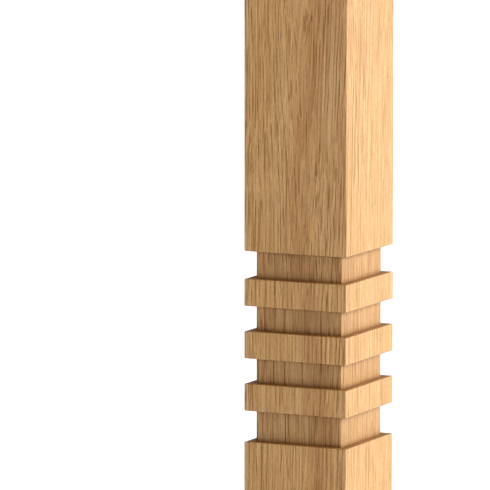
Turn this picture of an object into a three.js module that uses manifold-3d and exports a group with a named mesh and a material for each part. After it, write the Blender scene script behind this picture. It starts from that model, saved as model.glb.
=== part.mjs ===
// A square oak baluster for a stair or landing rail: one solid bar, with three square rings left standing between
// four sawn necks near each end.
//
// Sizes are in millimetres and +Z is up. The bar stands on its foot with its four long faces square to X and Y, and
// the origin is the middle of its underside. Its arrises are left sharp.

import * as THREE from 'three';
import { mergeVertices } from 'three/addons/utils/BufferGeometryUtils.js';
import Module from 'manifold-3d';

// The planed bar.
const LENGTH = 1000; // from the foot to the head
const SIDE = 40; // across each long face

// One carving, in order from the end of the bar: end block, neck, ring, neck, ring, neck, ring, neck, shaft.
const END_BLOCK = 138; // plain block at the foot, and the same at the head
const END_NECK = 11.2; // neck next to the end block
const RING_COUNT = 3;
const RING = 9.8; // height of each ring
const RING_NECK = 9.1; // neck between two rings
const SHAFT_NECK = 9.9; // neck next to the shaft
const NECK_SIDE = 33.5; // across each face of a neck

// The cutter that saws a neck reaches past the bar's faces, so that no skin is left on them.
const CUTTER_SIDE = SIDE + 20;

// The pale brown of oiled oak, with a soft sheen.
const OAK = { color: 0xc79a63, roughness: 0.55, metalness: 0 };

const wasm = await Module();
wasm.setup();

// A closed geometry as a solid that can be cut.
function solidFrom(geometry) {
  const bare = geometry.clone();
  bare.deleteAttribute('normal');
  bare.deleteAttribute('uv');
  const merged = mergeVertices(bare);
  return new wasm.Manifold(
    new wasm.Mesh({
      numProp: 3,
      vertProperties: merged.getAttribute('position').array,
      triVerts: new Uint32Array(merged.index.array),
    }),
  );
}

// A solid back as a geometry, with flat faces.
function geometryFrom(solid) {
  const mesh = solid.getMesh();
  const indexed = new THREE.BufferGeometry();
  indexed.setAttribute('position', new THREE.BufferAttribute(mesh.vertProperties, 3));
  indexed.setIndex(new THREE.BufferAttribute(mesh.triVerts, 1));
  const flat = indexed.toNonIndexed();
  flat.computeVertexNormals();
  return flat;
}

// The corners of a square centred on the axis.
function squareCorners(side) {
  const half = side / 2;
  return [[1, 1], [-1, 1], [-1, -1], [1, -1]].map(([x, y]) => new THREE.Vector2(x * half, y * half));
}

// An outline extruded straight up between two heights.
function upright(outline, bottom, top) {
  const geometry = new THREE.ExtrudeGeometry(outline, { depth: top - bottom, bevelEnabled: false });
  return geometry.translate(0, 0, bottom);
}

// The bar as it leaves the planer, before any neck is cut.
function planedBar() {
  return upright(new THREE.Shape(squareCorners(SIDE)), 0, LENGTH);
}

// The waste of one neck: a square frame round the bar, between two heights.
function neckWaste([bottom, top]) {
  const frame = new THREE.Shape(squareCorners(CUTTER_SIDE));
  frame.holes.push(new THREE.Path(squareCorners(NECK_SIDE)));
  return upright(frame, bottom, top);
}

// The bottom and top of each neck of the lower carving, going up from the foot block.
function lowerNecks() {
  const heights = [END_NECK, ...Array(RING_COUNT - 1).fill(RING_NECK), SHAFT_NECK];
  let bottom = END_BLOCK;
  return heights.map((height) => {
    const span = [bottom, bottom + height];
    bottom += height + RING;
    return span;
  });
}

// The same spans counted down from the head, which make the upper carving mirror the lower one.
function upperNecks() {
  return lowerNecks().map(([bottom, top]) => [LENGTH - top, LENGTH - bottom]);
}

// The baluster itself: the bar with the waste of all its necks cut away.
function baluster() {
  const necks = [...lowerNecks(), ...upperNecks()];
  const carved = necks.reduce((bar, span) => bar.subtract(solidFrom(neckWaste(span))), solidFrom(planedBar()));
  const mesh = new THREE.Mesh(geometryFrom(carved), new THREE.MeshStandardMaterial(OAK));
  mesh.name = 'baluster';
  return mesh;
}

const part = new THREE.Group();
part.add(baluster());

export default part;
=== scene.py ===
"""Dresses a square oak baluster for a stair rail and stands it in a plain pale studio.

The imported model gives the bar's sizes. Geometry Nodes carry its outline round the bar and ease its arrises.
The oak is worked out in three dimensions, so that the grain runs on through faces, shoulders and ends, as it
does in a bar sawn from a log. Lengths are in metres, +Z is up, and the foot stands on the floor. A name that
ends in mm holds millimetres, in which the grain is drawn.
"""

from __future__ import annotations

import logging
import math
from dataclasses import dataclass
from enum import Enum

import bpy
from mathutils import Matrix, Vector


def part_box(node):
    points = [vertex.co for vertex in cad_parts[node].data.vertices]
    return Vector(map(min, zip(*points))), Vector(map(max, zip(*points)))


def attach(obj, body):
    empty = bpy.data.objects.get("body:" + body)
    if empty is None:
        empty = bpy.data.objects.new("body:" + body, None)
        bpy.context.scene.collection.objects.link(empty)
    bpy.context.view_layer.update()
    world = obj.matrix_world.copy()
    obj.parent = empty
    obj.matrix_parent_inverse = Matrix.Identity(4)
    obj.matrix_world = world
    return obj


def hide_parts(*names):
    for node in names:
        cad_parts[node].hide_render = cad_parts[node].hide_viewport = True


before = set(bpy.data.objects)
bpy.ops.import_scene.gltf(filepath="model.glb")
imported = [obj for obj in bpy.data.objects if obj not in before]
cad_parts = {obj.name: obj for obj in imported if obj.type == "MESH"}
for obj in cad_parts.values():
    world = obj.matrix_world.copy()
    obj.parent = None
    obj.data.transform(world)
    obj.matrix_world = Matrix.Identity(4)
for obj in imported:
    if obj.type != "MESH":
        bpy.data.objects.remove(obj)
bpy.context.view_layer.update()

BAKE_MAP = "OFBake"  # the map that the finish is baked through
MM_PER_METRE = 1000.0
NOISE_MEAN = 0.5  # the middle of what a noise gives
HALF_STEP = 0.5  # half the step between two whole numbers, which keeps their rounding safe

log = logging.getLogger("baluster")


@dataclass(frozen=True)
class Signal:
    """What comes out of a node. Arithmetic on signals adds Math nodes to their tree."""

    wiring: Wiring
    socket: bpy.types.NodeSocket

    def __add__(self, other: Feed) -> Signal:
        """This signal plus another."""
        return self.wiring.math("ADD", self, other)

    def __sub__(self, other: Feed) -> Signal:
        """This signal less another."""
        return self.wiring.math("SUBTRACT", self, other)

    def __rsub__(self, other: float) -> Signal:
        """A number less this signal."""
        return self.wiring.math("SUBTRACT", other, self)

    def __mul__(self, other: Feed) -> Signal:
        """This signal times another."""
        return self.wiring.math("MULTIPLY", self, other)

    def __truediv__(self, other: Feed) -> Signal:
        """This signal divided by another."""
        return self.wiring.math("DIVIDE", self, other)

    def parts(self) -> tuple[Signal, Signal, Signal]:
        """The X, Y and Z parts of this vector."""
        split = self.wiring.node("ShaderNodeSeparateXYZ", {"Vector": self})
        return tuple(Signal(self.wiring, socket) for socket in split.outputs)


Feed = Signal | float | int | str | tuple | bpy.types.Material
Colour = tuple[float, float, float, float]
WHITE: Colour = (1.0, 1.0, 1.0, 1.0)


def in_use(sockets: bpy.types.bpy_prop_collection, name: str) -> bpy.types.NodeSocket:
    """Finds a socket of a node.

    Args:
        sockets: the node's inputs or its outputs.
        name: the socket's name, as Blender shows it.

    Returns:
        The socket of that name that the node's settings leave in use.
    """
    return next(socket for socket in sockets if socket.enabled and socket.name == name)


class Wiring:
    """Adds nodes to one tree and joins them, so that a shape or a pattern reads as a formula."""

    def __init__(self, tree: bpy.types.NodeTree) -> None:
        """Keeps the tree that the nodes go into."""
        self.tree = tree

    def feed(self, socket: bpy.types.NodeSocket, value: Feed) -> None:
        """Joins a signal to a socket, or sets the socket's own value."""
        if isinstance(value, Signal):
            self.tree.links.new(value.socket, socket)
        else:
            socket.default_value = value

    def node(self, kind: str, feeds: dict[str, Feed] | None = None, **settings: object) -> bpy.types.Node:
        """Adds a node.

        Args:
            kind: Blender's name for the type of node.
            feeds: what goes into each named input.
            settings: the node's own settings, such as its operation.

        Returns:
            The node.
        """
        node = self.tree.nodes.new(kind)
        for name, value in settings.items():
            setattr(node, name, value)
        for name, value in (feeds or {}).items():
            self.feed(in_use(node.inputs, name), value)
        return node

    def signal(
        self, kind: str, feeds: dict[str, Feed] | None = None, output: str = "", **settings: object
    ) -> Signal:
        """Adds a node and picks one of its outputs.

        Args:
            kind: Blender's name for the type of node.
            feeds: what goes into each named input.
            output: the output's name, or nothing for the first one in use.
            settings: the node's own settings.

        Returns:
            What comes out of the node.
        """
        node = self.node(kind, feeds, **settings)
        if output:
            return Signal(self, in_use(node.outputs, output))
        return Signal(self, next(socket for socket in node.outputs if socket.enabled))

    def math(self, operation: str, *values: Feed) -> Signal:
        """A Math node's result for one to three numbers."""
        node = self.node("ShaderNodeMath", operation=operation)
        for socket, value in zip(node.inputs, values):
            self.feed(socket, value)
        return Signal(self, node.outputs[0])

    def vector(self, operation: str, *values: Feed) -> Signal:
        """A Vector Math node's result, which is a vector, or a number for a length or a distance."""
        node = self.node("ShaderNodeVectorMath", operation=operation)
        for socket, value in zip(node.inputs, values):
            self.feed(socket, value)
        return Signal(self, next(socket for socket in node.outputs if socket.enabled))

    def combined(self, x: Feed, y: Feed, z: Feed) -> Signal:
        """A vector made of three numbers."""
        return self.signal("ShaderNodeCombineXYZ", {"X": x, "Y": y, "Z": z})

    def ramp(self, value: Signal, low: Feed, high: Feed) -> Signal:
        """Eases from 0 where a value is at low to 1 where it is at high, which may be the lesser."""
        limits = {"Value": value, "From Min": low, "From Max": high}
        return self.signal("ShaderNodeMapRange", limits, interpolation_type="SMOOTHSTEP")

    def mixed(self, share: Feed, first: Feed, second: Feed, blend: str = "MIX") -> Signal:
        """A colour between two colours, or the first with the second laid over it by a blend."""
        feeds = {"Factor": share, "A": first, "B": second}
        return self.signal("ShaderNodeMix", feeds, data_type="RGBA", blend_type=blend)


class Corner(Enum):
    """How a corner of the bar's outline is finished, with its radius in metres."""

    ARRIS = 0.00025  # an outer corner, eased with a stroke of fine paper
    SAWN = 0.00008  # an inner corner, as the saw leaves it


class BarSweep:
    """The Geometry Nodes tree that carries an outline round a square bar.

    The outline is a line of points, each at its height and as far out along X as half the bar is wide there.
    Its named attributes hold the radius of each corner and how much painted shade darkens the wood there.
    """

    RADIUS = "corner_radius"
    # painted shade in the necks' corners and on their walls, standing in for the shade that falls in these
    # recesses
    SHADE_ATTRIBUTE = "painted_corner_shade"
    SIDES_ON_MAP = 0.86  # share of the map's width that the four sides take
    END_ON_MAP = 0.115  # share of the map's width that each end takes
    MARGIN = 0.006  # empty border of the map
    WELD = 0.00001  # points this close together are one
    FLAT = 0.9999  # a flat face's normal has a part at least this large

    def __init__(self) -> None:
        """Draws the tree, from its named inputs to the finished bar."""
        self.tree = bpy.data.node_groups.new("square_bar_sweep", "GeometryNodeTree")
        self.wiring = Wiring(self.tree)
        for name, kind in (
            ("Outline", "Geometry"),
            ("Side", "Float"),
            ("Arris Radius", "Float"),
            ("Arris Steps", "Int"),
            ("Shaft On Map", "Float"),
            ("Oak", "Material"),
        ):
            self.tree.interface.new_socket(name=name, in_out="INPUT", socket_type="NodeSocket" + kind)
        self.tree.interface.new_socket(name="Bar", in_out="OUTPUT", socket_type="NodeSocketGeometry")
        given = self.wiring.node("NodeGroupInput").outputs
        self.given = {socket.name: Signal(self.wiring, socket) for socket in given if socket.name}
        self.outline = self.rounded_outline()
        self.section = self.rounded_section()
        self.finish()

    def finish(self) -> None:
        """Joins the sides and the two ends, shades them and gives them their oak."""
        wiring = self.wiring
        together = wiring.node("GeometryNodeJoinGeometry")
        for piece in (self.sides(), self.end(is_foot=True), self.end(is_foot=False)):
            wiring.feed(together.inputs[0], piece)
        loose = {"Geometry": Signal(wiring, together.outputs[0]), "Distance": self.WELD}
        welded = wiring.signal("GeometryNodeMergeByDistance", loose)
        rounded = {"Geometry": welded, "Selection": self.on_arris()}
        shaded = wiring.signal("GeometryNodeSetShadeSmooth", rounded, domain="FACE")
        whole = wiring.signal("GeometryNodeRealizeInstances", {"Geometry": shaded})
        dressed = wiring.signal("GeometryNodeSetMaterial", {"Geometry": whole, "Material": self.given["Oak"]})
        wiring.feed(wiring.node("NodeGroupOutput").inputs["Bar"], dressed)

    def rounded(self, curve: Signal, radius: Signal) -> Signal:
        """A curve of straight stretches with its corners rounded to a radius."""
        feeds = {"Curve": curve, "Count": self.given["Arris Steps"], "Radius": radius, "Limit Radius": True}
        return self.wiring.signal("GeometryNodeFilletCurve", feeds, mode="POLY")

    def named(self, attribute: str) -> Signal:
        """What an attribute of the outline holds at each of its points."""
        return self.wiring.signal("GeometryNodeInputNamedAttribute", {"Name": attribute}, data_type="FLOAT")

    def rounded_outline(self) -> Signal:
        """The outline from the foot to the head, with each corner rounded to its own radius."""
        line = self.wiring.signal("GeometryNodeMeshToCurve", {"Mesh": self.given["Outline"]})
        return self.rounded(line, self.named(self.RADIUS))

    def rounded_section(self) -> Signal:
        """The square section of the uncut bar, with eased corners."""
        sides = {"Width": self.given["Side"], "Height": self.given["Side"]}
        square = self.wiring.signal("GeometryNodeCurvePrimitiveQuadrilateral", sides)
        return self.rounded(square, self.given["Arris Radius"])

    def position(self) -> Signal:
        """Where a point is."""
        return self.wiring.signal("GeometryNodeInputPosition")

    def read_off(self, curve: Signal, value: Signal, index: Feed, kind: str = "FLOAT") -> Signal:
        """The value that a curve has at one of its points."""
        feeds = {"Geometry": curve, "Value": value, "Index": index}
        return self.wiring.signal("GeometryNodeSampleIndex", feeds, data_type=kind, domain="POINT")

    def count(self, curve: Signal) -> Signal:
        """How many points a curve has."""
        feeds = {"Geometry": curve}
        return self.wiring.signal("GeometryNodeAttributeDomainSize", feeds, "Point Count", component="CURVE")

    def placed(self, corner: Signal, half: Signal, height: Signal) -> Signal:
        """Moves a point of the section in or out along both X and Y, so that the arris keeps its radius.

        Args:
            corner: the point on the uncut bar's section.
            half: half the bar's width at the new height.
            height: the new height.

        Returns:
            The point on the bar.
        """
        step = half - self.given["Side"] / 2
        x, y = (part + self.wiring.math("SIGN", part) * step for part in corner.parts()[:2])
        return self.wiring.combined(x, y, height)

    def reach_on_map(self) -> Signal:
        """How far along the map each point of the outline lies, with the plain stretches drawn shorter."""
        wiring = self.wiring
        place = self.position()
        following = {"Value": place, "Index": wiring.signal("GeometryNodeInputIndex") + 1}
        ahead = wiring.signal("GeometryNodeFieldAtIndex", following, data_type="FLOAT_VECTOR", domain="POINT")
        reach = wiring.vector("DISTANCE", place, ahead)
        is_long = wiring.math("GREATER_THAN", reach, self.given["Side"])
        drawn = reach * (1 - is_long * (1 - self.given["Shaft On Map"]))
        return wiring.signal("GeometryNodeAccumulateField", {"Value": drawn}, "Trailing", domain="POINT")

    def sides(self) -> Signal:
        """The four sides with all their shoulders, as a strip that closes on itself."""
        wiring = self.wiring
        columns = self.count(self.section)
        rows = self.count(self.outline)
        grid = wiring.signal("GeometryNodeMeshGrid", {"Vertices X": columns + 1, "Vertices Y": rows}, "Mesh")
        index = wiring.signal("GeometryNodeInputIndex")
        column = wiring.math("FLOOR", (index + HALF_STEP) / rows)
        row = index - column * rows
        around = wiring.math("MODULO", column, columns)
        corner = self.read_off(self.section, self.position(), around, "FLOAT_VECTOR")
        half, _, height = self.read_off(self.outline, self.position(), row, "FLOAT_VECTOR").parts()
        swept = {"Geometry": grid, "Position": self.placed(corner, half, height)}
        strip = wiring.signal("GeometryNodeSetPosition", swept)
        # carries each row's painted shade from the outline onto the sides
        corner_shade = self.read_off(self.outline, self.named(self.SHADE_ATTRIBUTE), row)
        kept = {"Geometry": strip, "Name": self.SHADE_ATTRIBUTE, "Value": corner_shade}
        strip = wiring.signal("GeometryNodeStoreNamedAttribute", kept, data_type="FLOAT", domain="POINT")

        factor = wiring.signal("GeometryNodeSplineParameter", output="Factor")
        share = self.read_off(self.section, factor, column)
        is_last = wiring.math("GREATER_THAN", column, columns - HALF_STEP)
        across = wiring.math("MAXIMUM", share, is_last) * self.SIDES_ON_MAP + self.MARGIN
        reach = self.reach_on_map()
        up = self.read_off(self.outline, reach, row) / self.read_off(self.outline, reach, rows - 1)
        return self.mapped(strip, across, up * (1 - 2 * self.MARGIN) + self.MARGIN)

    def end(self, is_foot: bool) -> Signal:
        """One end of the bar, inside the eased edge that the sides bring round to it.

        Args:
            is_foot: whether it is the foot, which looks down, or the head.

        Returns:
            The end's mesh.
        """
        wiring = self.wiring
        index = 0 if is_foot else self.count(self.outline) - 1
        half, _, height = self.read_off(self.outline, self.position(), index, "FLOAT_VECTOR").parts()
        face = wiring.signal("GeometryNodeFillCurve", {"Curve": self.section}, mode="NGONS")
        if is_foot:
            face = wiring.signal("GeometryNodeFlipFaces", {"Mesh": face})
        level = {"Geometry": face, "Position": self.placed(self.position(), half, height)}
        face = wiring.signal("GeometryNodeSetPosition", level)
        x, y, _ = self.position().parts()
        left = self.SIDES_ON_MAP + 2 * self.MARGIN + self.END_ON_MAP / 2
        low = self.MARGIN + self.END_ON_MAP / 2
        bottom = low if is_foot else 1 - low
        return self.mapped(
            face,
            x / self.given["Side"] * self.END_ON_MAP + left,
            y / self.given["Side"] * self.END_ON_MAP + bottom,
        )

    def mapped(self, mesh: Signal, x: Signal, y: Signal) -> Signal:
        """A mesh with its place in the map kept on its face corners."""
        kept = {"Geometry": mesh, "Name": BAKE_MAP, "Value": self.wiring.combined(x, y, 0.0)}
        kind = "GeometryNodeStoreNamedAttribute"
        return self.wiring.signal(kind, kept, data_type="FLOAT2", domain="CORNER")

    def on_arris(self) -> Signal:
        """Whether a face is part of a rounded corner, and not of a flat."""
        normal = self.wiring.vector("ABSOLUTE", self.wiring.signal("GeometryNodeInputNormal"))
        x, y, z = normal.parts()
        largest = self.wiring.math("MAXIMUM", self.wiring.math("MAXIMUM", x, y), z)
        return self.wiring.math("LESS_THAN", largest, self.FLAT)


@dataclass(frozen=True)
class OutlinePoint:
    """One point of the bar's outline.

    Attributes:
        half: half the bar's width.
        height: above the floor.
        radius: of the rounding there.
        corner_shade: how much painted shade darkens the wood there, from 0 to 1.
    """

    half: float
    height: float
    radius: float = 0.0
    corner_shade: float = 0.0


@dataclass
class Baluster:
    """The bar of oak, with its necks and rings.

    Attributes:
        side: across each long face.
        neck_side: across each face of a neck.
        levels: the heights where the outline steps in or out, with the foot first and the head last.
        arris_steps: how many facets round off a corner.
        edge_band: how far the sides are brought round over each end.
        shade_reach: how far from a neck's corners the painted shade reaches, where shade falls in the recess.
        corner_shade_low: how much painted shade lies in a neck's lower corner and a little above it, from 0 to
            1.
        corner_shade_high: how much painted shade lies in a neck's upper corner and a little below it.
        shaft_on_map: how much shorter the plain stretches are drawn in the map than the carving.
    """

    side: float
    neck_side: float
    levels: list[float]
    arris_steps: int = 4
    edge_band: float = 0.002
    # the three fields below set painted shade in the necks, darkest in their corners, where shade falls in the
    # recesses
    shade_reach: float = 0.0014
    corner_shade_low: tuple[float, float] = (1.0, 0.3)
    corner_shade_high: tuple[float, float] = (0.9, 0.2)
    shaft_on_map: float = 0.4

    NODE = "baluster"
    BODY = "root"
    SLOT = "oak"
    LEVEL_DECIMALS = 5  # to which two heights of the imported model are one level
    ALIKE = 1e-3  # share by which two equal sizes of it may differ

    @classmethod
    def from_model(cls) -> Baluster:
        """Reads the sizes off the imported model, where blocks and necks alternate all the way up."""
        low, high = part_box(cls.NODE)
        places = [vertex.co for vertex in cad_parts[cls.NODE].data.vertices]
        levels = sorted({round(place.z, cls.LEVEL_DECIMALS) for place in places})
        halves = [
            abs(place.x)
            for place in places
            if levels[0] < round(place.z, cls.LEVEL_DECIMALS) < levels[-1]
            and math.isclose(abs(place.x), abs(place.y), rel_tol=cls.ALIKE)
        ]
        return cls(side=high.x - low.x, neck_side=2 * min(halves), levels=levels)

    def outline(self) -> list[OutlinePoint]:
        """The outline's points, from the foot to the head."""
        inside = self.side / 2 - self.edge_band
        points = [OutlinePoint(inside, self.levels[0])]
        for order, (bottom, top) in enumerate(zip(self.levels, self.levels[1:])):
            is_neck = order % 2 == 1
            points += self.neck(bottom, top) if is_neck else self.block(bottom, top)
        points.append(OutlinePoint(inside, self.levels[-1]))
        return points

    def block(self, bottom: float, top: float) -> list[OutlinePoint]:
        """The points of a stretch as wide as the bar: an end block, a ring or the shaft."""
        arris = Corner.ARRIS.value
        return [OutlinePoint(self.side / 2, height, arris) for height in (bottom, top)]

    def neck(self, bottom: float, top: float) -> list[OutlinePoint]:
        """A neck's points, with painted shade darkest in both corners."""
        half = self.neck_side / 2
        sawn = Corner.SAWN.value
        low_corner, above = self.corner_shade_low
        high_corner, below = self.corner_shade_high
        # each point carries its share of painted shade, darkest in the neck's corners
        return [
            OutlinePoint(half, bottom, sawn, low_corner),
            OutlinePoint(half, bottom + self.shade_reach, corner_shade=above),
            OutlinePoint(half, top - self.shade_reach, corner_shade=below),
            OutlinePoint(half, top, sawn, high_corner),
        ]

    def outline_object(self) -> bpy.types.Object:
        """A line of points and edges that the sweep reads."""
        points = self.outline()
        mesh = bpy.data.meshes.new("bar_outline")
        edges = [(index, index + 1) for index in range(len(points) - 1)]
        mesh.from_pydata([(point.half, 0.0, point.height) for point in points], edges, [])
        radii = mesh.attributes.new(BarSweep.RADIUS, "FLOAT", "POINT")
        radii.data.foreach_set("value", [point.radius for point in points])
        corner_shade = mesh.attributes.new(BarSweep.SHADE_ATTRIBUTE, "FLOAT", "POINT")
        corner_shade.data.foreach_set("value", [point.corner_shade for point in points])
        line = bpy.data.objects.new("bar_outline", mesh)
        bpy.context.scene.collection.objects.link(line)
        return line

    def build(self, oak: bpy.types.Material) -> bpy.types.Object:
        """Sweeps the outline round the bar and keeps the result as a plain mesh.

        Args:
            oak: the finish of every face.

        Returns:
            The bar, at the origin and unturned.
        """
        line = self.outline_object()
        sweep = BarSweep()
        modifier = line.modifiers.new("sweep", "NODES")
        modifier.node_group = sweep.tree
        sizes = {
            "Side": self.side,
            "Arris Radius": Corner.ARRIS.value,
            "Arris Steps": self.arris_steps,
            "Shaft On Map": self.shaft_on_map,
            "Oak": oak,
        }
        for item in sweep.tree.interface.items_tree:
            if item.name in sizes:
                modifier[item.identifier] = sizes[item.name]
        depsgraph = bpy.context.evaluated_depsgraph_get()
        mesh = bpy.data.meshes.new_from_object(line.evaluated_get(depsgraph))
        mesh.name = "oak_baluster"
        mesh.materials.pop(index=0)  # the empty slot that the tree leaves before the oak
        bpy.data.objects.remove(line)
        bar = bpy.data.objects.new("oak_baluster", mesh)
        bpy.context.scene.collection.objects.link(bar)
        return bar

    def dress(self, bar: bpy.types.Object) -> None:
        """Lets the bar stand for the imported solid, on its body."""
        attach(bar, self.BODY)
        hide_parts(self.NODE)


@dataclass(frozen=True)
class Drawn:
    """Noise drawn out along the grain.

    Attributes:
        size_mm: how large it is along X, Y and Z.
        seed: which noise it is.
        detail: how many finer layers it has.
    """

    size_mm: tuple[float, float, float]
    seed: float
    detail: float = 2.0


@dataclass(frozen=True)
class Vessels:
    """Open vessels of one kind, each in a long cell of its own.

    Attributes:
        cell_mm: how large a cell is along X, Y and Z.
        reach: how much wider the widest vessel is than the slimmest, as a share of the cell.
    """

    cell_mm: tuple[float, float, float]
    reach: float

    SLIMMEST = 0.06  # width of the slimmest one, as a share of the cell
    CORE = 0.45  # share of a vessel's width that is dark throughout


@dataclass(frozen=True)
class OakFinish:
    """Planed oak with a thin clear finish, drawn in three dimensions.

    The growth rings lie round the heart of the log, which runs outside the bar in front of its -Y face. So
    that face shows the broad flames of flat-sawn oak, and the +X and -X faces the fine straight lines of
    rift-sawn oak.

    Attributes:
        heart_mm: where the heart lies, along X and Y from the bar's axis.
        heart_wave_mm: how far the heart wanders along X and Y over the bar's length.
        wave_length_mm: the height in which it wanders to and fro.
        wave_start_mm: the height at which it crosses its mean place.
        streak_mm: the streak of darker wood: its mean place along X, its swing and half its width.
        streak_length_mm: the height in which it swings to and fro.
        ring_mm: the mean width of a growth ring.
        young_mm: the distances from the heart between which the dark lines grow fainter.
        pale: the colour of the wood between the pores.
        late: the colour of the dense wood at the end of a year's growth.
        pore: the colour inside a pore.
        end_grain: what the colour is multiplied by where the grain is cut across.
        corner_shade: what the colour is multiplied by as painted shade, in a neck's corners and on its faces.
        deepening: how much faster green and blue darken than red does.
    """

    heart_mm: tuple[float, float] = (2.5, -32.3)
    heart_wave_mm: tuple[float, float] = (1.5, 3.2)
    wave_length_mm: float = 620.0
    wave_start_mm: float = 262.0
    streak_mm: tuple[float, float, float] = (3.5, 5.0, 7.0)
    streak_length_mm: float = 170.0
    ring_mm: float = 1.15
    young_mm: tuple[float, float] = (20.0, 42.0)
    pale: Colour = (0.49, 0.268, 0.086, 1.0)
    late: Colour = (0.37, 0.162, 0.036, 1.0)
    pore: Colour = (0.16, 0.046, 0.002, 1.0)
    end_grain: Colour = (0.78, 0.68, 0.44, 1.0)
    # tint of painted shade for the necks' corners and faces, where shade falls in the recesses
    corner_shade: Colour = (0.58, 0.45, 0.22, 1.0)
    deepening: tuple[float, float] = (1.3, 2.1)

    SWERVES = (  # from the broadest to the smallest, each with how far it bends the grain in millimetres
        (Drawn((30.0, 30.0, 95.0), 3.0), 3.0),
        (Drawn((8.0, 8.0, 34.0), 7.0), 1.1),
        (Drawn((2.6, 2.6, 22.0), 5.0), 0.22),
    )
    FIBRES = Drawn((0.45, 0.45, 75.0), 11.0)
    BANDS = Drawn((5.0, 5.0, 190.0), 23.0)
    HUES = Drawn((5.0, 5.0, 110.0), 83.0)
    SPECKS = Drawn((0.42, 0.42, 1.4), 67.0, detail=1.0)
    DASHES = Drawn((1.3, 1.3, 11.0), 31.0)
    HAIRLINES = Drawn((0.45, 0.45, 100.0), 47.0)
    HAIR_STRENGTH = Drawn((2.6, 2.6, 22.0), 53.0, detail=1.0)
    COARSE = Vessels((0.46, 0.46, 15.0), 0.75)
    FINE = Vessels((0.36, 0.36, 10.0), 0.42)

    # Each pair below says where a share is 0 and where it is 1. A year's growth runs from 0 to 1.
    EARLY_SEASON = (0.36, 0.04)
    LATE_SEASON = (0.35, 0.9)
    YEAR_END = (1.0, 0.96)
    SEAM_SLANT = (0.02, 0.22)  # slants of a face to the rings, from along them to across them
    DASH = (0.32, 0.58)
    HAIR = (0.55, 0.65)
    HAIR_DEPTH = (0.2, 0.75)
    CROSS_CUT = (0.55, 0.85)  # the upright part of a face's normal

    STREAK_CORE = 0.3  # share of the streak's width that is dark throughout
    YEAR_REACH = 1.3  # how many years the shifts of the rings span
    YEAR_PACE = 0.45  # how quickly the shifts change from ring to ring
    TONE_REACH = 0.4  # how much the rings' own tones differ
    SEAM_OUTER = 0.34  # the season up to which a seam shows, times the slant, so that its line keeps its width
    SEAM_INNER = 0.10  # the season up to which it is dark throughout, times the slant
    SEAM_LEAST = 0.01  # added to its end, so that no seam has a width of nothing

    # How much each part of the grain tells in the wood's warmth, brightness, hue and darkness.
    LATE_WARMTH = 0.2
    BAND_WARMTH = 0.7
    STREAK_WARMTH = 0.5
    FIBRE_CONTRAST = 1.0
    SPECK_CONTRAST = 0.4
    GREEN_SHIFT = 0.15
    BLUE_SHIFT = 0.6
    COARSE_DARKNESS = 0.35
    FINE_DARKNESS = 0.4
    SEAM_DARKNESS = 0.75
    HAIR_DARKNESS = 1.15
    OUTER_DARKNESS = 0.4  # of the lines far from the heart, against those near it
    PORE_DARKNESS = 0.7

    GLOSS = 0.5
    PORE_DULLNESS = 0.45
    ROUGHNESS = 0.5
    PORE_ROUGHNESS = 0.15
    FIBRE_ROUGHNESS = 0.3
    RELIEF = 0.00012  # depth of the pores and height of the fibres' ribs

    def material(self) -> bpy.types.Material:
        """The finish as a material."""
        material = bpy.data.materials.new("planed_oak")
        material.use_nodes = True
        wiring = Wiring(material.node_tree)
        place = wiring.signal("ShaderNodeTexCoord", output="Object")
        point = wiring.vector("SCALE", place)
        point.socket.node.inputs["Scale"].default_value = MM_PER_METRE

        grain = self.wandering(wiring, point)
        early, late, tone, seam = self.rings(wiring, grain)
        pores = self.pores(wiring, grain, early, seam)
        fibres = self.noise(wiring, grain, self.FIBRES) - NOISE_MEAN
        warm = self.warmth(wiring, grain, late, tone)

        shader = material.node_tree.nodes["Principled BSDF"]
        wiring.feed(shader.inputs["Base Color"], self.colour(wiring, grain, warm, fibres, pores))
        wiring.feed(shader.inputs["Specular IOR Level"], self.GLOSS - pores * self.PORE_DULLNESS)
        rough = pores * self.PORE_ROUGHNESS + fibres * self.FIBRE_ROUGHNESS + self.ROUGHNESS
        wiring.feed(shader.inputs["Roughness"], rough)
        ribs = {"Strength": 1.0, "Distance": self.RELIEF, "Height": fibres - pores}
        wiring.feed(shader.inputs["Normal"], wiring.signal("ShaderNodeBump", ribs))
        return material

    def warmth(self, wiring: Wiring, grain: Signal, late: Signal, tone: Signal) -> Signal:
        """How far the wood has gone from its pale colour to that of late wood."""
        bands = self.noise(wiring, grain, self.BANDS) - NOISE_MEAN
        streak = self.streak(wiring, grain)
        return late * self.LATE_WARMTH + tone + bands * self.BAND_WARMTH + streak * self.STREAK_WARMTH

    def colour(self, wiring: Wiring, grain: Signal, warm: Signal, fibres: Signal, pores: Signal) -> Signal:
        """The wood's colour.

        Args:
            wiring: the material's nodes.
            grain: places measured from the heart.
            warm: how far the wood has gone to the colour of late wood.
            fibres: how light the fibres are, about 0.
            pores: how much a place lies in a pore.

        Returns:
            The colour with its fibres, specks, pores, end grain and the painted shade in the necks' corners.
        """
        specks = self.noise(wiring, grain, self.SPECKS) - NOISE_MEAN
        cool = self.noise(wiring, grain, self.HUES) - NOISE_MEAN
        light = fibres * self.FIBRE_CONTRAST + specks * self.SPECK_CONTRAST + 1
        green, blue = (wiring.math("POWER", light, power) for power in self.deepening)
        shade = wiring.combined(
            light, green * (cool * self.GREEN_SHIFT + 1), blue * (cool * self.BLUE_SHIFT + 1)
        )
        wood = wiring.mixed(1.0, wiring.mixed(warm, self.pale, self.late), shade, "MULTIPLY")
        wood = wiring.mixed(pores * self.PORE_DARKNESS, wood, self.pore)
        wood = self.darkened(wiring, wood, self.cut_across(wiring), self.end_grain)
        # painted shade: darker in the necks' corners and on their faces, where shade falls in the recesses
        corners = wiring.signal("ShaderNodeAttribute", output="Fac", attribute_name=BarSweep.SHADE_ATTRIBUTE)
        return self.darkened(wiring, wood, corners, self.corner_shade)

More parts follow.
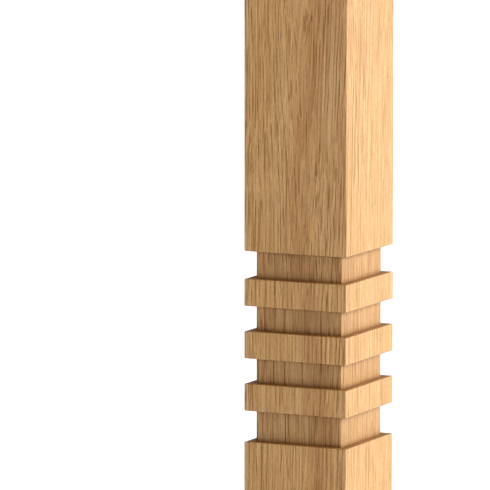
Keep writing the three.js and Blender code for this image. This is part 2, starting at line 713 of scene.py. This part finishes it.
    @staticmethod
    def darkened(wiring: Wiring, wood: Signal, where: Signal, tint: Colour) -> Signal:
        """The wood's colour, multiplied by a tint where it applies."""
        return wiring.mixed(where, wood, wiring.mixed(1.0, wood, tint, "MULTIPLY"))

    @staticmethod
    def noise(wiring: Wiring, grain: Signal, drawn: Drawn, output: str = "Fac") -> Signal:
        """Noise along the grain.

        Args:
            wiring: the material's nodes.
            grain: places in the wood, in millimetres.
            drawn: the noise's size, seed and detail.
            output: Fac for one number, or Color for three.

        Returns:
            One number about 0.5, or three of them.
        """
        scale = tuple(1 / size for size in drawn.size_mm)
        place = wiring.vector("MULTIPLY_ADD", grain, scale, (drawn.seed, -drawn.seed, drawn.seed))
        feeds = {"Vector": place, "Scale": 1.0, "Detail": drawn.detail}
        return wiring.signal("ShaderNodeTexNoise", feeds, output)

    def swerve(self, wiring: Wiring, point: Signal, drawn: Drawn, reach_mm: float) -> Signal:
        """Moves places sideways by noise, which bends the grain that is drawn on them."""
        mean = (NOISE_MEAN, NOISE_MEAN, NOISE_MEAN)
        centred = wiring.vector("SUBTRACT", self.noise(wiring, point, drawn, "Color"), mean)
        return wiring.vector("MULTIPLY_ADD", centred, (reach_mm, reach_mm, 0.0), point)

    def wandering(self, wiring: Wiring, point: Signal) -> Signal:
        """Places measured from the heart, which wanders in a slow wave, with the grain's smaller swerves."""
        turn = self.wave(wiring, point, self.wave_length_mm)
        away = (turn * wave + mean for wave, mean in zip(self.heart_wave_mm, self.heart_mm))
        grain = wiring.vector("SUBTRACT", point, wiring.combined(*away, 0.0))
        for drawn, reach_mm in self.SWERVES:
            grain = self.swerve(wiring, grain, drawn, reach_mm)
        return grain

    def wave(self, wiring: Wiring, point: Signal, length_mm: float) -> Signal:
        """A slow wave up the bar, from -1 to 1."""
        _, _, height = point.parts()
        return wiring.math("SINE", (height - self.wave_start_mm) * (math.tau / length_mm))

    @staticmethod
    def outwards(wiring: Wiring, grain: Signal) -> Signal:
        """The level way from the heart to a place, as long as the place is far."""
        return wiring.vector("MULTIPLY", grain, (1.0, 1.0, 0.0))

    def rings(self, wiring: Wiring, grain: Signal) -> tuple[Signal, Signal, Signal, Signal]:
        """The growth rings.

        Args:
            wiring: the material's nodes.
            grain: places measured from the heart.

        Returns:
            How much a place is porous early wood, how much it is dense late wood, its ring's own tone, and
            whether it lies on the seam of large pores where a ring begins.
        """
        outwards = self.outwards(wiring, grain)
        even = wiring.vector("LENGTH", outwards) / self.ring_mm
        pace = {"W": even * self.YEAR_PACE, "Scale": 1.0, "Detail": 0.0}
        uneven = wiring.signal("ShaderNodeTexNoise", pace, "Fac", noise_dimensions="1D") - NOISE_MEAN
        years = even + uneven * self.YEAR_REACH
        year = wiring.math("FLOOR", years)
        season = wiring.math("FRACT", years)
        early = wiring.ramp(season, *self.EARLY_SEASON)
        late = wiring.ramp(season, *self.LATE_SEASON) * wiring.ramp(season, *self.YEAR_END)
        tone = wiring.signal("ShaderNodeTexWhiteNoise", {"W": year}, "Value", noise_dimensions="1D")
        slant = self.slant(wiring, outwards)
        line = wiring.ramp(season, slant * self.SEAM_OUTER + self.SEAM_LEAST, slant * self.SEAM_INNER)
        seam = line * wiring.ramp(slant, *self.SEAM_SLANT)
        return early, late, (tone - NOISE_MEAN) * self.TONE_REACH, seam

    @staticmethod
    def slant(wiring: Wiring, outwards: Signal) -> Signal:
        """How squarely a face cuts the rings, from 0 where it lies along them to 1 where it cuts across."""
        normal = wiring.signal("ShaderNodeTexCoord", output="Normal")
        facing = wiring.vector("DOT_PRODUCT", wiring.vector("NORMALIZE", outwards), normal)
        return wiring.math("SQRT", wiring.math("MAXIMUM", 1 - facing * facing, 0.0))

    def streak(self, wiring: Wiring, grain: Signal) -> Signal:
        """How much a place lies in the streak of darker wood that wanders up the bar."""
        mean, swing, reach = self.streak_mm
        side, _, _ = grain.parts()
        middle = self.wave(wiring, grain, self.streak_length_mm) * swing
        return wiring.ramp(wiring.math("ABSOLUTE", side - middle - mean), reach, reach * self.STREAK_CORE)

    def pores(self, wiring: Wiring, grain: Signal, early: Signal, seam: Signal) -> Signal:
        """The open vessels, which show as short dark strokes along the grain and as dots across it."""
        coarse = self.vessels(wiring, grain, self.COARSE) * early
        fine = self.vessels(wiring, grain, self.FINE)
        dashes = wiring.ramp(self.noise(wiring, grain, self.DASHES), *self.DASH)
        distance = wiring.vector("LENGTH", self.outwards(wiring, grain))
        near, far = self.young_mm
        young = wiring.ramp(distance, far, near) * (1 - self.OUTER_DARKNESS) + self.OUTER_DARKNESS
        hairlines = self.hairlines(wiring, grain) * self.HAIR_DARKNESS
        lines = (seam * dashes * self.SEAM_DARKNESS + hairlines) * young
        together = coarse * self.COARSE_DARKNESS + lines + fine * self.FINE_DARKNESS
        return wiring.math("MINIMUM", together, 1.0)

    def hairlines(self, wiring: Wiring, grain: Signal) -> Signal:
        """Long thin lines of small vessels, some dark and some faint."""
        line = wiring.ramp(self.noise(wiring, grain, self.HAIRLINES), *self.HAIR)
        return line * wiring.ramp(self.noise(wiring, grain, self.HAIR_STRENGTH), *self.HAIR_DEPTH)

    @staticmethod
    def vessels(wiring: Wiring, grain: Signal, kind: Vessels) -> Signal:
        """Spindles in a lattice of long cells, each of its own width."""
        scale = tuple(1 / size for size in kind.cell_mm)
        place = wiring.vector("MULTIPLY", grain, scale)
        cells = wiring.node("ShaderNodeTexVoronoi", {"Vector": place, "Scale": 1.0}, voronoi_dimensions="3D")
        distance = Signal(wiring, cells.outputs["Distance"])
        chance, _, _ = Signal(wiring, cells.outputs["Color"]).parts()
        width = chance * kind.reach + kind.SLIMMEST
        return wiring.ramp(distance, width, width * kind.CORE)

    def cut_across(self, wiring: Wiring) -> Signal:
        """Whether a face cuts across the grain, as the shoulders and ends do."""
        normal = wiring.signal("ShaderNodeTexCoord", output="Normal")
        _, _, along = wiring.vector("ABSOLUTE", normal).parts()
        return wiring.ramp(along, *self.CROSS_CUT)


@dataclass(frozen=True)
class SoftLight:
    """A large soft light far away, such as a big softbox or a bright wall.

    Attributes:
        name: what it is.
        azimuth: where it stands, in degrees: 0 in front of the -Y face and 90 in front of the +X face.
        elevation: how high it stands, in degrees.
        spread: how wide it looks from the bar, in degrees.
        strength: how brightly it lights a white face that looks at it.
        colour: its tint.
    """

    name: str
    azimuth: float
    elevation: float
    spread: float
    strength: float
    colour: tuple[float, float, float] = (1.0, 1.0, 1.0)

    def build(self) -> bpy.types.Object:
        """Hangs the light."""
        lamp = bpy.data.lights.new(self.name, "SUN")
        lamp.energy = self.strength * math.pi
        lamp.angle = math.radians(self.spread)
        lamp.color = self.colour
        light = bpy.data.objects.new(self.name, lamp)
        light.rotation_mode = "QUATERNION"
        light.rotation_quaternion = direction(self.azimuth, self.elevation).to_track_quat("Z", "Y")
        bpy.context.scene.collection.objects.link(light)
        return light


@dataclass(frozen=True)
class PaleFloor:
    """The wide white floor, which is lit and glows a little, so that only a soft shadow marks it.

    Attributes:
        radius: how far it reaches from the bar.
        sides: how many straight edges its rim has.
        white: how much light it throws back.
        glow: how much light it gives off by itself.
    """

    radius: float = 30.0
    sides: int = 96
    white: float = 0.85
    glow: float = 0.3

    def material(self) -> bpy.types.Material:
        """A matt white that glows."""
        material = bpy.data.materials.new("pale_floor")
        material.use_nodes = True
        shader = material.node_tree.nodes["Principled BSDF"]
        shader.inputs["Base Color"].default_value = (self.white, self.white, self.white, 1.0)
        shader.inputs["Roughness"].default_value = 1.0
        shader.inputs["Specular IOR Level"].default_value = 0.0
        shader.inputs["Emission Color"].default_value = WHITE
        shader.inputs["Emission Strength"].default_value = self.glow
        return material

    def build(self) -> bpy.types.Object:
        """Lays the floor under the foot."""
        turns = [math.tau * step / self.sides for step in range(self.sides)]
        rim = [(self.radius * math.cos(turn), self.radius * math.sin(turn), 0.0) for turn in turns]
        mesh = bpy.data.meshes.new("pale_floor")
        mesh.from_pydata(rim, [], [tuple(range(self.sides))])
        mesh.materials.append(self.material())
        floor = bpy.data.objects.new("pale_floor", mesh)
        bpy.context.scene.collection.objects.link(floor)
        return floor


@dataclass(frozen=True)
class PaleSky:
    """The white surround.

    Attributes:
        seen: how bright it looks behind the bar.
        light: how strongly it lights the bar.
    """

    seen: float = 1.05
    light: float = 0.42

    def build(self) -> None:
        """Sets the scene's world."""
        world = bpy.data.worlds.new("pale_sky")
        world.use_nodes = True
        world.node_tree.nodes.clear()
        wiring = Wiring(world.node_tree)
        lighting = wiring.signal("ShaderNodeBackground", {"Color": WHITE, "Strength": self.light})
        backdrop = wiring.signal("ShaderNodeBackground", {"Color": WHITE, "Strength": self.seen})
        seen = wiring.signal("ShaderNodeLightPath", output="Is Camera Ray")
        mix = wiring.node("ShaderNodeMixShader")
        for socket, value in zip(mix.inputs, (seen, lighting, backdrop)):
            wiring.feed(socket, value)
        wiring.feed(wiring.node("ShaderNodeOutputWorld").inputs["Surface"], Signal(wiring, mix.outputs[0]))
        bpy.context.scene.world = world


@dataclass(frozen=True)
class PhotoCamera:
    """The photograph's own view of the lower carving, with a long lens.

    Attributes:
        azimuth: where it stands, in degrees: 0 in front of the -Y face and 90 in front of the +X face.
        distance: from the bar's axis to the camera, level.
        height: of the camera above the floor.
        aim_height: of the point on which the picture is centred.
        aim_left: how far to the left of the axis that point lies, as the camera sees it.
        lens_mm: the focal length.
        picture_mm: how wide the picture is in the camera.
    """

    azimuth: float = 25.086
    distance: float = 2.157
    height: float = 0.500
    aim_height: float = 0.2076
    aim_left: float = 0.02642
    lens_mm: float = 447.63
    picture_mm: float = 36.0

    def build(self) -> bpy.types.Object:
        """Sets up the scene's camera."""
        back = direction(self.azimuth, 0.0)
        leftwards = back.cross(Vector((0.0, 0.0, 1.0)))
        place = back * self.distance + Vector((0.0, 0.0, self.height))
        aim = leftwards * self.aim_left + Vector((0.0, 0.0, self.aim_height))
        lens = bpy.data.cameras.new("photo_camera")
        lens.lens = self.lens_mm
        lens.sensor_width = self.picture_mm
        camera = bpy.data.objects.new("photo_camera", lens)
        camera.location = place
        camera.rotation_mode = "QUATERNION"
        camera.rotation_quaternion = (aim - place).to_track_quat("-Z", "Y")
        bpy.context.scene.collection.objects.link(camera)
        bpy.context.scene.camera = camera
        return camera


def direction(azimuth: float, elevation: float) -> Vector:
    """The way from the bar to a camera or a light.

    Args:
        azimuth: degrees round the bar: 0 in front of the -Y face and 90 in front of the +X face.
        elevation: degrees above level.

    Returns:
        A vector of length 1.
    """
    turn = math.radians(azimuth)
    rise = math.radians(elevation)
    return Vector((math.sin(turn) * math.cos(rise), -math.cos(turn) * math.cos(rise), math.sin(rise)))


class Studio:
    """Everything round the bar: floor, surround, lights and camera."""

    SKYLIGHT = (0.94, 1.0, 1.2)  # the faint blue of daylight
    LIGHTS = (
        SoftLight("key_softbox", azimuth=87.0, elevation=24.0, spread=36.0, strength=1.31, colour=SKYLIGHT),
        SoftLight("rear_softbox", azimuth=150.0, elevation=14.0, spread=60.0, strength=0.68),
    )

    def build(self) -> None:
        """Sets the studio up, with colours shown as they are."""
        bpy.context.scene.view_settings.view_transform = "Standard"
        PaleFloor().build()
        PaleSky().build()
        for light in self.LIGHTS:
            light.build()
        PhotoCamera().build()


def main() -> None:
    """Builds the baluster and its studio."""
    logging.basicConfig(level=logging.INFO, format="%(name)s: %(message)s")
    baluster = Baluster.from_model()
    bar = baluster.build(OakFinish().material())
    baluster.dress(bar)
    log.info("%s: %d faces, %.1f mm square", bar.name, len(bar.data.polygons), baluster.side * MM_PER_METRE)
    Studio().build()
    log.info("studio: floor, surround, %d lights and camera", len(Studio.LIGHTS))


if __name__ == "__main__":
    main()
